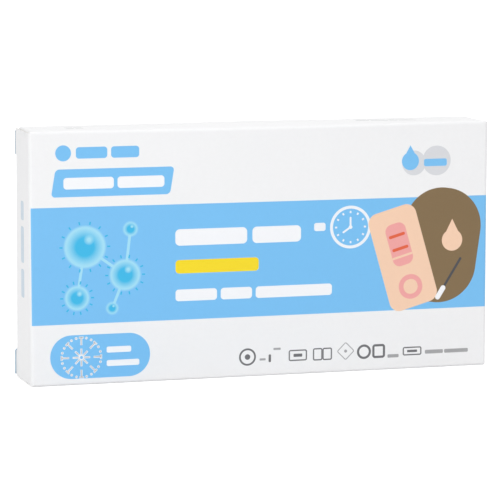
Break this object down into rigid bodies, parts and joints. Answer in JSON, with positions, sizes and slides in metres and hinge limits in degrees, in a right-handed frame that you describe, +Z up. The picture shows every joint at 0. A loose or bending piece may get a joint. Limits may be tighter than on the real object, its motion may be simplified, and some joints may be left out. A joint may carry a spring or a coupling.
{
  "type": "test kit carton",
  "caption": "Flat folding carton for a rapid test, standing on its long narrow edge, with hinged tuck-in end flaps, a push-in tube holder and the kit inside.",
  "frame": {"origin": "centre of the bottom panel, on the surface the carton stands on", "axes": "+X along the front panel to the viewer's right, +Y from the front panel to the back panel, +Z up"},
  "size_m": [0.1522, 0.021, 0.08],
  "materials": {
    "printed_board": "coated white board, printed pale blue, satin",
    "pouch_foil": "laminated foil, satin",
    "peel_pack": "paper and clear film, heat sealed",
    "tube_plastic": "milky squeeze tube",
    "seal_foil": "bright foil",
    "cap_plastic": "white moulded",
    "leaflet_paper": "thin uncoated paper"
  },
  "bodies": {
    "carton": {"carton_sleeve": "printed_board", "test_pouch": "pouch_foil", "swab_pack": "peel_pack", "extraction_tube": "tube_plastic", "tube_seal": "seal_foil", "nozzle_cap": "cap_plastic", "instruction_leaflet": "leaflet_paper"},
    "left_flap": {"left_tuck_flap": "printed_board"},
    "right_flap": {"right_tuck_flap": "printed_board"}
  },
  "joints": [
    {"name": "left_flap_hinge", "type": "hinge", "parent": "carton", "child": "left_flap", "pos_m": [-0.07515, -0.01015, 0.04], "axis": [0, 0, 1], "range_deg": [0, 130]},
    {"name": "right_flap_hinge", "type": "hinge", "parent": "carton", "child": "right_flap", "pos_m": [0.07515, -0.01015, 0.04], "axis": [0, 0, -1], "range_deg": [0, 130]}
  ]
}
